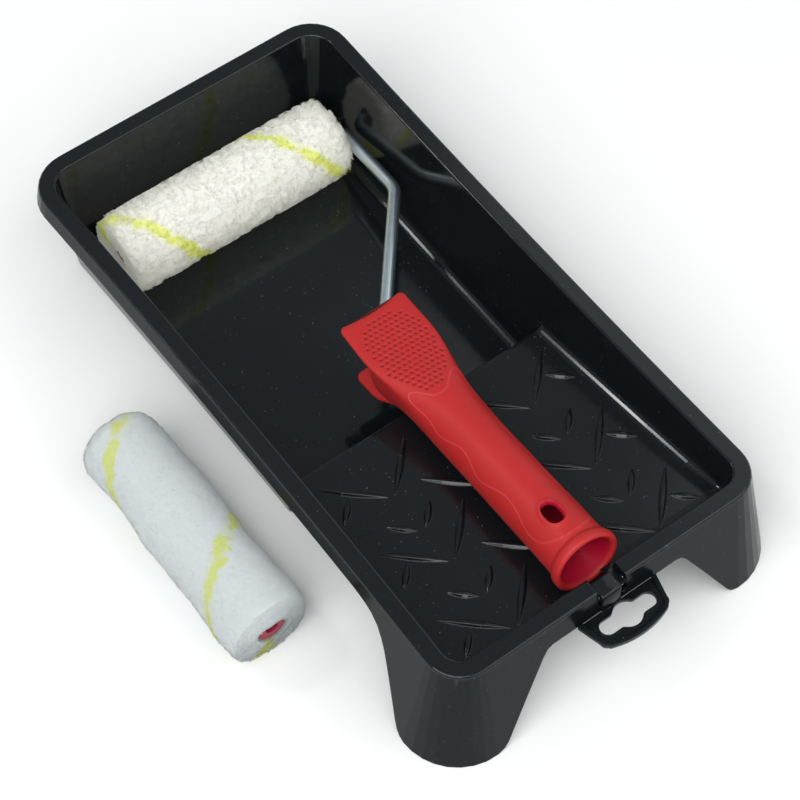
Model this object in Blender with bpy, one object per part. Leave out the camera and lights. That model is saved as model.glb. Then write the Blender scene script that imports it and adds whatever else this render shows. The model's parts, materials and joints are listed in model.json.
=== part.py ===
"""Mini paint roller tray with its roller and a spare sleeve.

Metres, +Z up.  X runs across the tray, Y from the front rim to the back rim.
The origin is on the underside of the well, at the middle of its flat floor.
"""
import math

import bmesh
import bpy
from mathutils import Matrix, Vector

MM = 0.001

# Tray, in millimetres.  Heights are measured down from the top of the rim.
LENGTH = 320.0          # rim, front to back
HALF_WIDTH = 83.2       # rim, at the front and back
WAIST = 2.0             # how far each long side draws in at the middle
HEIGHT = 60.6           # rim to the ground
WALL = 2.2              # wall thickness
RIM_BAND = 8.0          # flat top of the rim
CORNER_FRONT = 17.0
CORNER_BACK = 20.0
DRAFT = 0.11            # inner walls, millimetres per millimetre of depth
FLARE = 0.19            # skirt and legs, outwards
WELL_DEPTH = 58.6
CREST_Y = 132.0         # where the ramp ends and the step down begins
STEP_FOOT_Y = 136.2
CREST_DEPTH = 32.5
RAMP_SLOPE = 0.1217
BASIN_FILLET = 5.0
FRONT_FILLET = 2.2
SKIRT_DROP = 8.5        # lower edge of the skirt along the sides and back
FRONT_DROP = 12.5       # lower edge of the skirt at the front
WELL_CENTRE_Y = 221.0   # the origin, measured from the front rim

# Tread ribs on the ramp.
RIB_LONG = 31.0
RIB_SHORT = 13.4
RIB_WIDTH = 3.4
RIB_HEIGHT = 1.1
RIB_PITCH = 42.2

# Roller.
AXLE_Y = 281.5          # sleeve axis, from the front rim
AXLE_DEPTH = 38.4       # sleeve axis, below the rim
TOOL_TILT = math.radians(7.7)
WIRE_R = 3.0
CORE_R = 7.5
CORE_BORE = 6.3
CORE_HALF = 56.0
PILE_R = 19.9
PILE_HALF = 57.5
PLUG_BORE = 3.09
CLIP_X = 41.8           # retaining clip, just inside the near plug
GAP = 0.3

# Handle, along its own axis from the open end.
HANDLE_RISE = 0.4       # axis of its bore above the wire
HANDLE_END = Vector((-2.2, -269.6, HANDLE_RISE))
HANDLE_YAW = math.radians(-2.1)
HOLE_X = -1.8            # hanging hole, across and from the open end
HOLE_S = 21.3

# Spare sleeve on the ground.
SPARE_X = -114.0
SPARE_Y = 142.0
SPARE_R = 19.4
SPARE_YAW = math.radians(91.5)

# Hang tab.
TAB_TOP = 11.3          # top of its plate, below the rim
TAB_THICK = 1.8
TAB_ROOT_Y = -2.9
NOTCH_LEFT = -8.3
NOTCH_RIGHT = 6.3


def clear_scene():
    for obj in list(bpy.data.objects):
        bpy.data.objects.remove(obj, do_unlink=True)


def material(name, colour, roughness, metallic=0.0):
    mat = bpy.data.materials.new(name)
    mat.use_nodes = True
    shader = mat.node_tree.nodes["Principled BSDF"]
    shader.inputs["Base Color"].default_value = (*colour, 1.0)
    shader.inputs["Roughness"].default_value = roughness
    shader.inputs["Metallic"].default_value = metallic
    return mat


def add_object(name, mesh, mat=None):
    obj = bpy.data.objects.new(name, mesh)
    bpy.context.scene.collection.objects.link(obj)
    if mat:
        mesh.materials.append(mat)
    return obj


def finish(obj, angle=32.0):
    """Clean the mesh and shade it smooth with crisp edges."""
    bm = bmesh.new()
    bm.from_mesh(obj.data)
    bmesh.ops.remove_doubles(bm, verts=bm.verts, dist=1e-6)
    bmesh.ops.dissolve_degenerate(bm, edges=bm.edges, dist=1e-6)
    bm.to_mesh(obj.data)
    bm.free()
    obj.data.shade_smooth()
    obj.data.set_sharp_from_angle(angle=math.radians(angle))
    return obj


def boolean(obj, cutter, operation):
    """Apply one exact boolean and remove the cutter."""
    mod = obj.modifiers.new(operation.lower(), "BOOLEAN")
    mod.operation = operation
    mod.solver = "EXACT"
    mod.object = cutter
    depsgraph = bpy.context.evaluated_depsgraph_get()
    mesh = bpy.data.meshes.new_from_object(obj.evaluated_get(depsgraph))
    obj.modifiers.clear()
    obj.data = mesh
    bpy.data.objects.remove(cutter, do_unlink=True)
    return obj


def mesh_from(verts, faces, name="mesh"):
    """A closed mesh, in metres, from points in millimetres; its faces are turned outwards."""
    mesh = bpy.data.meshes.new(name)
    mesh.from_pydata([Vector(v) * MM for v in verts], [], faces)
    bm = bmesh.new()
    bm.from_mesh(mesh)
    bmesh.ops.recalc_face_normals(bm, faces=bm.faces)
    bm.to_mesh(mesh)
    bm.free()
    return mesh


def loft(name, rings, mat=None, close=True):
    """Join rings of equal length into a closed solid."""
    count = len(rings[0])
    verts = [p for ring in rings for p in ring]
    faces = []
    for r in range(len(rings) - 1):
        for i in range(count):
            j = (i + 1) % count
            faces.append((r * count + i, r * count + j, (r + 1) * count + j, (r + 1) * count + i))
    if close:
        last = (len(rings) - 1) * count
        faces.append(tuple(reversed(range(count))))
        faces.append(tuple(range(last, last + count)))
    return add_object(name, mesh_from(verts, faces, name), mat)


def prism(points, axis, low, high, name="cutter"):
    """A closed prism: a polygon in the two other axes, extruded along the given axis."""
    rings = []
    for value in (low, high):
        ring = []
        for a, b in points:
            ring.append({"x": (value, a, b), "y": (a, value, b), "z": (a, b, value)}[axis])
        rings.append(ring)
    return loft(name, rings)


def revolve_x(name, profile, mat=None, segments=48):
    """Turn a closed (x, radius) profile about the X axis."""
    count = len(profile)
    verts = []
    faces = []
    for s in range(segments):
        a = 2.0 * math.pi * s / segments
        verts += [(x, r * math.cos(a), r * math.sin(a)) for x, r in profile]
    for s in range(segments):
        t = (s + 1) % segments
        for i in range(count):
            j = (i + 1) % count
            faces.append((s * count + i, s * count + j, t * count + j, t * count + i))
    return add_object(name, mesh_from(verts, faces, name), mat)


def arc(cx, cy, radius, start, end, steps):
    points = []
    for i in range(steps + 1):
        a = math.radians(start + (end - start) * i / steps)
        points.append((cx + radius * math.cos(a), cy + radius * math.sin(a)))
    return points


# ---------------------------------------------------------------- tray

def half_outline():
    """Right half of the rim's outline from front to back, as (x, y, nx, ny)."""
    points = []
    cx, cy = HALF_WIDTH - CORNER_FRONT, CORNER_FRONT
    for i in range(9):
        a = math.radians(-90.0 + 11.25 * i)
        c, d = math.cos(a), math.sin(a)
        points.append((cx + CORNER_FRONT * c, cy + CORNER_FRONT * d, c, d))
    stations = [25.0, 34.0, 60.3, 84.0, 107.0]
    stations += [130.4, CREST_Y, CREST_Y + 0.7, STEP_FOOT_Y - 0.6, STEP_FOOT_Y, STEP_FOOT_Y + 1.2]
    stations += [156.0 + 24.0 * i for i in range(6)]
    points += [(HALF_WIDTH, y, 1.0, 0.0) for y in stations]
    cx, cy = HALF_WIDTH - CORNER_BACK, LENGTH - CORNER_BACK
    for i in range(9):
        a = math.radians(11.25 * i)
        c, d = math.cos(a), math.sin(a)
        points.append((cx + CORNER_BACK * c, cy + CORNER_BACK * d, c, d))
    return points


def floor_depth(y):
    """Depth of the basin's floor below the rim: the ramp, the step, then the well."""
    ramp = CREST_DEPTH - RAMP_SLOPE * (CREST_Y - y)
    if y <= 130.5:
        return ramp
    if y <= CREST_Y + 0.01:
        return ramp + 0.25
    if y <= CREST_Y + 0.8:
        return ramp + 1.4
    if y <= STEP_FOOT_Y - 0.5:
        return WELL_DEPTH - 1.4
    if y <= STEP_FOOT_Y + 0.1:
        return WELL_DEPTH - 0.3
    return WELL_DEPTH


def tray_ring(inset_of, depth_of, step_shift=0.0):
    """A ring of the tray: the outline moved inwards by inset_of(y), at depth_of(y)."""
    right = []
    for x, y, nx, ny in half_outline():
        foot_y = y - ny * (RIM_BAND + 3.0)
        inset = inset_of(foot_y)
        px = x - nx * inset - WAIST * (1.0 - (2.0 * y / LENGTH - 1.0) ** 2)
        at_step = CREST_Y - 2.0 < y < STEP_FOOT_Y + 2.0
        right.append((px, y - ny * inset - (step_shift if at_step else 0.0), -depth_of(foot_y)))
    left = [(-x, y, z) for x, y, z in reversed(right)]
    return right + left


def basin_rings(offset, thicker, step_shift):
    """Rings down the basin's wall and round its fillet, for its inside or its outside."""
    rings = [tray_ring(lambda y: offset + DRAFT * wall_foot(y) * 0.5,
                       lambda y: wall_foot(y) * 0.5 + thicker * 0.4, step_shift)]
    for i in range(6):
        a = math.radians(18.0 * i)
        rings.append(tray_ring(
            lambda y: offset + DRAFT * wall_foot(y) + fillet(y) * (1.0 - math.cos(a)),
            lambda y: wall_foot(y) + fillet(y) * math.sin(a) + thicker, step_shift))
    return rings


def fillet(y):
    """Radius between wall and floor, tighter at the front end."""
    blend = min(max((y - CORNER_FRONT) / 20.0, 0.0), 1.0)
    return FRONT_FILLET + (BASIN_FILLET - FRONT_FILLET) * blend


def wall_foot(y):
    return floor_depth(y) - fillet(y)


def tray_shell(mat):
    """The whole moulding before its legs, notch and ribs are shaped, as one closed mesh."""
    def at(inset, depth):
        return tray_ring(lambda y: inset, lambda y: depth)

    outside = [at(-FLARE * d, d) for d in (HEIGHT, 30.0, 1.2)]
    outside += [at(0.12, 0.55), at(0.45, 0.15), at(1.1, 0.0)]
    outside += [at(RIM_BAND - 1.0, 0.0), at(RIM_BAND - 0.4, 0.12), at(RIM_BAND - 0.05, 0.55)]
    outside += basin_rings(RIM_BAND, 0.0, 0.0)
    inside = [at(WALL - FLARE * d, d) for d in (HEIGHT, 30.0)]
    inside += [at(WALL, WALL), at(RIM_BAND - WALL + 0.1, WALL)]
    inside += basin_rings(RIM_BAND - WALL, HEIGHT - WELL_DEPTH, WALL)

    count = len(outside[0])
    verts = []
    faces = []
    for rings, flip in ((outside, False), (inside, True)):
        base = len(verts)
        for ring in rings:
            verts += ring
        part = wall_faces(base, len(rings), count) + strip_cap(base + (len(rings) - 1) * count, count)
        faces += [tuple(reversed(face)) for face in part] if flip else part
    second = len(outside) * count
    for i in range(count):
        j = (i + 1) % count
        faces.append((i, second + i, second + j, j))
    return add_object("tray", mesh_from(verts, faces, "tray"), mat)


def wall_faces(base, rows, count):
    """Quads between successive rings of the tray."""
    faces = []
    for r in range(rows - 1):
        a = base + r * count
        b = a + count
        for i in range(count):
            j = (i + 1) % count
            faces.append((a + i, a + j, b + j, b + i))
    return faces


def strip_cap(first, count):
    """Close a ring with strips that run straight across the tray."""
    last = first + count - 1
    return [(first + i, first + i + 1, last - i - 1, last - i) for i in range(count // 2 - 1)]


def basin_envelope():
    """The basin's outside with a little air round it, as a solid block."""
    offset = RIM_BAND - WALL - 0.4
    rings = [tray_ring(lambda y: offset, lambda y: 4.0)] + basin_rings(offset, 2.4, WALL + 0.4)
    count = len(rings[0])
    verts = [p for ring in rings for p in ring]
    faces = wall_faces(0, len(rings), count) + strip_cap((len(rings) - 1) * count, count)
    faces = [tuple(reversed(face)) for face in faces] + strip_cap(0, count)
    return add_object("envelope", mesh_from(verts, faces, "envelope"))


def leg_cutters():
    """What is cut from the skirt so that only the two front legs reach the ground."""
    side = [(345.0, -SKIRT_DROP), (66.0, -SKIRT_DROP), (58.0, -9.1), (52.5, -10.4), (47.6, -13.2),
            (43.6, -17.4), (40.2, -22.4), (36.6, -29.0), (30.3, -41.6), (24.4, -53.6), (22.2, -57.2),
            (19.6, -59.6), (16.6, -60.4), (16.6, -75.0), (345.0, -75.0)]
    right = [(33.0, -FRONT_DROP), (35.5, -13.6), (38.0, -16.8), (47.0, -33.0), (59.6, -56.0),
             (61.8, -58.8), (65.0, -60.2), (68.5, -60.4), (68.5, -75.0)]
    front = [(-x, z) for x, z in reversed(right)] + right
    return prism(side, "x", -130.0, 130.0), prism(front, "y", -40.0, 14.0)


def rib(x, y, length, direction):
    """A lens-shaped rib, standing on the ramp at x, y and lying along the direction."""
    rings = []
    steps = 6
    slope = Vector((0.0, 1.0, -RAMP_SLOPE)).normalized()
    across = Vector((1.0, 0.0, 0.0))
    up = across.cross(slope)
    along = (across * math.cos(direction) + slope * math.sin(direction)).normalized()
    side = up.cross(along)
    centre = Vector((x, y, -floor_depth(y)))
    for i in range(steps + 1):
        t = -1.0 + 2.0 * i / steps
        swell = max(1.0 - t * t, 0.14)
        w = RIB_WIDTH / 2.0 * swell
        h = RIB_HEIGHT * swell
        ring = []
        for a, b in ((-1.0, -0.9), (1.0, -0.9), (1.0, 0.0), (0.45, 1.0), (-0.45, 1.0), (-1.0, 0.0)):
            lift = b * h + 0.13 if b >= 0.0 else b
            ring.append(tuple(centre + along * (t * length / 2.0) + side * (a * w) + up * lift))
        rings.append(ring)
    return rings


def ramp_ribs():
    """Two crossed families of ribs, mirrored about the tray's middle."""
    down = math.radians(-46.0)
    up = math.radians(46.0)
    rings = []
    for row in range(3):
        y = 26.9 + RIB_PITCH * row
        for side in (-1.0, 1.0):
            lean = down if side < 0 else up
            other = up if side < 0 else down
            rings.append(rib(side * 50.6, y, RIB_LONG, lean))
            rings.append(rib(side * 26.0, y - 0.7, RIB_LONG, other))
            rings.append(rib(side * 58.2, y - 6.0, RIB_SHORT, other))
            if row < 2:
                rings.append(rib(side * 45.3, y + 14.3, RIB_SHORT, lean))
                rings.append(rib(side * 32.0, y + 13.6, RIB_SHORT, other))
                rings.append(rib(side * 13.6, y + 20.2, RIB_LONG - 3.0, lean))
    return rings


def tray(mat):
    obj = tray_shell(mat)
    for cutter in leg_cutters():
        boolean(cutter, basin_envelope(), "DIFFERENCE")
        boolean(obj, cutter, "DIFFERENCE")
    notch = prism([(NOTCH_LEFT, -9.2), (NOTCH_RIGHT, -9.2), (NOTCH_RIGHT, 4.0), (NOTCH_LEFT, 4.0)],
                  "y", -8.0, 10.6)
    boolean(obj, notch, "DIFFERENCE")
    for rings in ramp_ribs():
        boolean(obj, loft("rib", rings), "UNION")
    return finish(obj)


# ---------------------------------------------------------------- hang tab

def slot_outline(grow=0.0):
    """The three-lobed hanging slot, centred on its own middle."""
    middle = 6.3 + grow
    end = 3.0 + grow
    reach = 10.7
    meet = math.degrees(math.asin(end / middle))
    points = arc(0.0, 0.0, middle, meet, 180.0 - meet, 12)
    points += arc(-reach, 0.0, end, 90.0, 270.0, 10)
    points += arc(0.0, 0.0, middle, 180.0 + meet, 360.0 - meet, 12)
    points += arc(reach, 0.0, end, -90.0, 90.0, 10)
    return points


def tab_outline(grow=0.0):
    """Right edge, rounded outer corners and bowed front of the tab's plate."""
    points = [(20.5 + grow, TAB_ROOT_Y - grow)]
    points += arc(14.6, -14.2, 3.2 + grow, 8.0, -62.0, 6)
    bow = arc(0.0, 21.5, 42.2 + grow, -68.0, -112.0, 12)
    points += bow
    points += [(-x, y) for x, y in reversed(arc(14.6, -14.2, 3.2 + grow, 8.0, -62.0, 6))]
    points.append((-20.5 - grow, TAB_ROOT_Y - grow))
    return points


def hang_tab(mat):
    plate_low = -(TAB_TOP + TAB_THICK)
    obj = prism(tab_outline(), "z", plate_low, -TAB_TOP, "hang_tab")
    border = prism(tab_outline(), "z", -TAB_TOP - 0.5, -TAB_TOP + 1.3)
    inner = prism(tab_outline(-2.0), "z", -TAB_TOP - 2.0, -TAB_TOP + 3.0)
    boolean(border, inner, "DIFFERENCE")
    boolean(obj, border, "UNION")
    collar = prism([(x, y - 10.2) for x, y in slot_outline(0.9)], "z", -TAB_TOP - 0.6, -TAB_TOP + 0.7)
    boolean(obj, collar, "UNION")
    slot = prism([(x, y - 10.2) for x, y in slot_outline()], "z", -TAB_TOP - 5.0, -TAB_TOP + 5.0)
    boolean(obj, slot, "DIFFERENCE")
    left = NOTCH_LEFT + GAP
    right = 1.6
    profile = [(-5.6, plate_low + 0.3), (-2.9, plate_low + 0.3), (-2.9, -8.7), (-0.5, -8.7), (-0.5, -3.1),
               (4.4, -3.1), (4.8, -6.6), (5.8, -6.6), (6.4, -1.5), (5.2, -0.5), (2.4, -1.2), (0.2, -1.0),
               (-1.2, -0.5), (-2.6, -1.4)]
    arm = prism(profile, "x", left, right)
    boolean(obj, arm, "UNION")
    obj.data.materials.clear()
    obj.data.materials.append(mat)
    return finish(obj)


# ---------------------------------------------------------------- handle

def handle_section(s, half_width, top, bottom, power=2.0, taper=0.0, shift=0.0, count=36):
    """A superellipse across the handle at the distance s from its open end, narrower below by the taper."""
    ring = []
    middle = (top + bottom) / 2.0
    half_height = (top - bottom) / 2.0
    for i in range(count):
        a = 2.0 * math.pi * i / count
        c, d = math.cos(a), math.sin(a)
        rise = math.copysign(abs(d) ** (2.0 / power), d)
        x = math.copysign(abs(c) ** (2.0 / power), c) * half_width * (1.0 + taper * rise)
        ring.append((x + shift, s, rise * half_height + middle))
    return ring


def handle(mat):
    grip = [
        (0.0, 14.4, 14.4, -14.4), (0.7, 15.3, 15.3, -15.3), (2.2, 15.8, 15.8, -15.8),
        (3.9, 15.6, 15.6, -15.6), (5.2, 14.9, 14.9, -14.9), (6.0, 14.2, 14.2, -14.2),
        (14.0, 14.1, 14.1, -14.1), (30.0, 13.9, 13.9, -13.9),
        (50.0, 13.8, 13.8, -13.8), (70.0, 13.7, 13.7, -13.7, 2.05), (90.0, 13.9, 13.5, -13.6, 2.15),
        (100.0, 14.1, 13.3, -13.5, 2.3, 0.01), (108.0, 14.4, 13.0, -13.5, 2.5, 0.02),
        (115.0, 15.0, 12.8, -13.6, 2.8, 0.04), (121.0, 15.7, 12.6, -13.9, 3.0, 0.055),
        (127.0, 16.3, 12.5, -14.8, 3.2, 0.07), (133.4, 16.7, 12.4, -15.4, 3.4, 0.075)]
    obj = loft("handle", [handle_section(*row) for row in grip], mat)
    pad = [(118.0, 14.4, 12.5, 9.6, 3.2), (126.0, 16.3, 12.4, 9.7, 3.2),
           (134.0, 17.6, 12.35, 9.8, 3.2, 0.0, 0.2),
           (142.0, 17.8, 12.25, 9.9, 3.2, 0.0, 0.5), (150.0, 17.7, 12.1, 9.9, 3.2, 0.0, 0.9),
           (156.5, 17.6, 12.0, 9.9, 3.2, 0.0, 1.3), (158.6, 17.2, 11.7, 10.1, 3.0, 0.0, 1.4),
           (159.2, 16.6, 11.3, 10.4, 3.0, 0.0, 1.4)]
    boolean(obj, loft("pad", [handle_section(*row) for row in pad]), "UNION")
    plan = [(14.0, 124.0), (15.2, 131.0), (15.2, 148.0)]
    plan += arc(12.0, 148.0, 3.2, 0.0, 90.0, 5)
    plan += [(-x, y) for x, y in reversed(plan)]
    boolean(obj, prism(plan, "z", -15.5, -13.2), "UNION")
    throat = [handle_section(s, w, 8.6, -12.4, 5.0) for s, w in ((121.5, 11.4), (134.5, 13.8))]
    boolean(obj, loft("throat", throat), "DIFFERENCE")
    boss = loft("boss", [handle_section(s, w, 9.2, low, 3.5, 0.0, 0.0, 24)
                         for s, w, low in ((116.0, 7.0, -7.0), (131.0, 6.4, -6.2), (132.4, 5.6, -5.4))])
    boolean(obj, boss, "UNION")
    bore = loft("bore", [handle_section(s, r, r, -r)
                         for s, r in ((-2.0, 13.2), (0.0, 12.9), (3.0, 12.3), (6.0, 11.9),
                                      (86.0, 11.3), (90.0, 8.0))])
    boolean(obj, bore, "DIFFERENCE")
    turns = [2.0 * math.pi * i / 20 for i in range(20)]
    hole = prism([(HOLE_X + 3.7 * math.cos(a), HOLE_S + 5.4 * math.sin(a)) for a in turns], "z", -25.0, 25.0)
    boolean(obj, hole, "DIFFERENCE")
    hold = WIRE_R + GAP
    low = -hold - HANDLE_RISE
    socket = loft("socket", [handle_section(s, hold, hold - HANDLE_RISE, low, 2.0, 0.0, 0.0, 24)
                             for s in (101.0, 160.0)])
    boolean(obj, socket, "DIFFERENCE")
    return finish(obj)


# ---------------------------------------------------------------- wire

def bent_path(corners, radii, steps=8):
    """A flat path through the corners, with an arc of the given radius at each inner one."""
    path = [Vector(corners[0])]
    for i in range(1, len(corners) - 1):
        before, here, after = (Vector(corners[k]) for k in (i - 1, i, i + 1))
        a = (before - here).normalized()
        b = (after - here).normalized()
        half = a.angle(b) / 2.0
        reach = radii[i - 1] / math.tan(half)
        centre = here + (a + b).normalized() * (radii[i - 1] / math.sin(half))
        start = here + a * reach - centre
        end = here + b * reach - centre
        turn = start.angle_signed(end)
        for k in range(steps + 1):
            angle = -turn * k / steps
            path.append(centre + Matrix.Rotation(angle, 2) @ start)
    path.append(Vector(corners[-1]))
    return path


def tube_along(name, path, radius, mat, segments=24):
    """A round bar along a flat path, with its ends slightly chamfered."""
    rings = []
    last = len(path) - 1
    for i, point in enumerate(path):
        tangent = (path[min(i + 1, last)] - path[max(i - 1, 0)]).normalized()
        normal = Vector((-tangent.y, tangent.x))
        scale = 1.0
        if 0 < i < last:
            turn = (path[i] - path[i - 1]).angle(path[i + 1] - path[i])
            scale = 1.0 / math.cos(turn / 2.0)
        ring = []
        for k in range(segments):
            a = 2.0 * math.pi * k / segments
            side = radius * math.cos(a) * scale
            ring.append((point.x + normal.x * side, point.y + normal.y * side, radius * math.sin(a)))
        rings.append(ring)
    return loft(name, rings, mat)


def wire_frame(mat):
    yaw = Vector((math.sin(-HANDLE_YAW), math.cos(HANDLE_YAW)))
    end = Vector((HANDLE_END.x, HANDLE_END.y))
    corners = [(-55.0, 0.0), (65.7, 0.0), (62.7, -48.5), tuple(end + yaw * 149.5), tuple(end + yaw * 102.0)]
    return finish(tube_along("wire_frame", bent_path(corners, (6.0, 13.0, 12.0)), WIRE_R, mat))


# ---------------------------------------------------------------- sleeves

def pile_profile(radius, half):
    """Closed profile of the pile cover: rounded ends and a bore that clears the core."""
    bore = CORE_R + GAP
    points = [(-half, bore), (half, bore)]
    outer = [(half - 4.0 + 4.0 * math.cos(math.radians(a)), radius - 5.0 + 5.0 * math.sin(math.radians(a)))
             for a in (0, 18, 36, 54, 72, 90)]
    points += outer
    points += [(-x, r) for x, r in reversed(outer)]
    return points


def plug_profile(direction):
    """Stepped end plug: a flange against the core's end and a body inside its bore."""
    flange = CORE_R - 0.2
    body = CORE_BORE - GAP
    rows = [(CORE_HALF + 1.6, PLUG_BORE), (CORE_HALF + 1.6, flange - 0.5), (CORE_HALF + 1.2, flange),
            (CORE_HALF + GAP, flange), (CORE_HALF + GAP, body), (CORE_HALF - 12.0, body), (CORE_HALF - 13.0, body - 0.8),
            (CORE_HALF - 13.0, PLUG_BORE)]
    return [(direction * x, r) for x, r in rows]


def sleeve(prefix, radius, core_mat, pile_mat, plug_mat):
    core = revolve_x(prefix + "_core", [(-CORE_HALF, CORE_BORE), (CORE_HALF, CORE_BORE), (CORE_HALF, CORE_R),
                                        (-CORE_HALF, CORE_R)], core_mat)
    pile = revolve_x(prefix + "_pile", pile_profile(radius, PILE_HALF), pile_mat)
    near = revolve_x(prefix + "_plug_near", plug_profile(1.0), plug_mat)
    far = revolve_x(prefix + "_plug_far", plug_profile(-1.0), plug_mat)
    return [finish(obj) for obj in (core, pile, near, far)]


def build():
    clear_scene()
    black = material("black_plastic", (0.018, 0.021, 0.023), 0.35)
    red = material("red_plastic", (0.52, 0.025, 0.03), 0.4)
    steel = material("plated_steel", (0.55, 0.6, 0.64), 0.32, 1.0)
    pile = material("cream_pile", (0.82, 0.83, 0.76), 0.95)
    spare_pile = material("white_pile", (0.78, 0.81, 0.82), 0.95)
    plug = material("plug_plastic", (0.4, 0.03, 0.06), 0.4)

    base = Matrix.Translation(Vector((0.0, -WELL_CENTRE_Y, HEIGHT)) * MM)
    tray_obj = tray(black)
    tab_obj = hang_tab(black)
    for obj in (tray_obj, tab_obj):
        obj.matrix_world = base

    axle = Vector((0.0, AXLE_Y - WELL_CENTRE_Y, HEIGHT - AXLE_DEPTH)) * MM
    tool = Matrix.Translation(axle) @ Matrix.Rotation(-TOOL_TILT, 4, "X")
    grip = tool @ Matrix.Translation(HANDLE_END * MM) @ Matrix.Rotation(HANDLE_YAW, 4, "Z")
    handle(red).matrix_world = grip
    wire_frame(steel).matrix_world = tool
    stop = revolve_x("wire_stop", [(CORE_HALF + 1.9, 3.3), (CORE_HALF + 3.3, 3.3), (CORE_HALF + 3.3, 4.6),
                                   (CORE_HALF + 1.9, 4.6)], plug, 48)
    clip = revolve_x("wire_clip", [(CLIP_X, 3.3), (CLIP_X + 0.9, 3.3), (CLIP_X + 0.9, 5.4), (CLIP_X, 5.4)], steel, 48)
    for obj in (stop, clip):
        finish(obj).matrix_world = tool
    for obj in sleeve("sleeve", PILE_R, red, pile, plug):
        obj.matrix_world = tool

    spare_at = Vector((SPARE_X, SPARE_Y - WELL_CENTRE_Y, SPARE_R + 0.1)) * MM
    spare = Matrix.Translation(spare_at) @ Matrix.Rotation(SPARE_YAW, 4, "Z")
    for obj in sleeve("spare", SPARE_R, red, spare_pile, plug):
        obj.matrix_world = spare


build()
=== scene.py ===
import json
import math

import bmesh
import bpy
import numpy as np
from mathutils import Matrix, Vector


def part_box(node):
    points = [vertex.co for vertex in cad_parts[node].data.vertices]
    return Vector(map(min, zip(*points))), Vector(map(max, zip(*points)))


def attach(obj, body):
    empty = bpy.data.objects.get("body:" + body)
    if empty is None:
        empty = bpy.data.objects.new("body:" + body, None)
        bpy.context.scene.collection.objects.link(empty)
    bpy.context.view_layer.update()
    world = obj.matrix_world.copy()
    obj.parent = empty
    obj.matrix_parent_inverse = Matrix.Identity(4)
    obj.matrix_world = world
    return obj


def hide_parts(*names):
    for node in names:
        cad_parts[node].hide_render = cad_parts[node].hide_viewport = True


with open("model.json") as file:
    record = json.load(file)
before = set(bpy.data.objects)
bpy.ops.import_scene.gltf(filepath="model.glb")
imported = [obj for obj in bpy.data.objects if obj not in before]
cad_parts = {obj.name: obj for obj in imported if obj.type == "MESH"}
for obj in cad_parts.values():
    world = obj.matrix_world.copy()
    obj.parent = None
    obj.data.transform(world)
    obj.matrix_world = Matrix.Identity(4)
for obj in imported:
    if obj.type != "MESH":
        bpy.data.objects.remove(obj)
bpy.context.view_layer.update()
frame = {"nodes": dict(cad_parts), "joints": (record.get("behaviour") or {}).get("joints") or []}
nodes = frame["nodes"]


# ------------------------------------------------------------ materials

ARRIS_RADIUS = 0.0007


class Graph:
    """A short way to write a material's node tree."""

    def __init__(self, name):
        self.mat = bpy.data.materials.new(name)
        self.mat.use_nodes = True
        self.tree = self.mat.node_tree
        self.shader = self.tree.nodes["Principled BSDF"]

    def node(self, kind, **settings):
        made = self.tree.nodes.new(kind)
        for key, value in settings.items():
            setattr(made, key, value)
        return made

    def link(self, source, target):
        self.tree.links.new(source, target)

    def feed(self, target, value):
        """Link the value to the target if it is an output, or else set it there."""
        if hasattr(value, "is_output"):
            self.link(value, target)
        elif isinstance(value, (tuple, list)) and len(value) == 3 and target.type == "RGBA":
            target.default_value = (*value, 1.0)
        else:
            target.default_value = value

    def math(self, operation, a, b=0.0):
        made = self.node("ShaderNodeMath", operation=operation)
        self.feed(made.inputs[0], a)
        self.feed(made.inputs[1], b)
        return made.outputs[0]

    def mix(self, factor, a, b):
        made = self.node("ShaderNodeMix", data_type="RGBA")
        self.feed(made.inputs[0], factor)
        self.feed(made.inputs[6], a)
        self.feed(made.inputs[7], b)
        return made.outputs[2]

    def ramp(self, value, low, high, out_low=0.0, out_high=1.0):
        """The value, taken from low..high to out_low..out_high and clamped there."""
        made = self.node("ShaderNodeMapRange")
        self.feed(made.inputs[0], value)
        for slot, number in zip((1, 2, 3, 4), (low, high, out_low, out_high)):
            made.inputs[slot].default_value = number
        return made.outputs[0]

    def noise(self, vector, scale, detail=2.0, roughness=0.5):
        made = self.node("ShaderNodeTexNoise")
        self.link(vector, made.inputs["Vector"])
        made.inputs["Scale"].default_value = scale
        made.inputs["Detail"].default_value = detail
        made.inputs["Roughness"].default_value = roughness
        return made.outputs["Fac"]

    def object_space(self, scale=(1.0, 1.0, 1.0)):
        coords = self.node("ShaderNodeTexCoord")
        mapping = self.node("ShaderNodeMapping")
        mapping.inputs["Scale"].default_value = scale
        self.link(coords.outputs["Object"], mapping.inputs["Vector"])
        return mapping.outputs[0]

    def bump(self, height, strength, distance, under=None):
        """A bump on the shader's normal, over the normal named by under."""
        made = self.node("ShaderNodeBump")
        if under:
            self.link(under, made.inputs["Normal"])
        made.inputs["Strength"].default_value = strength
        made.inputs["Distance"].default_value = distance
        self.link(height, made.inputs["Height"])
        self.link(made.outputs[0], self.shader.inputs["Normal"])

    def set(self, **values):
        """Feed the shader's inputs, whose names have spaces for underscores."""
        for key, value in values.items():
            self.feed(self.shader.inputs[key.replace("_", " ")], value)


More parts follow.
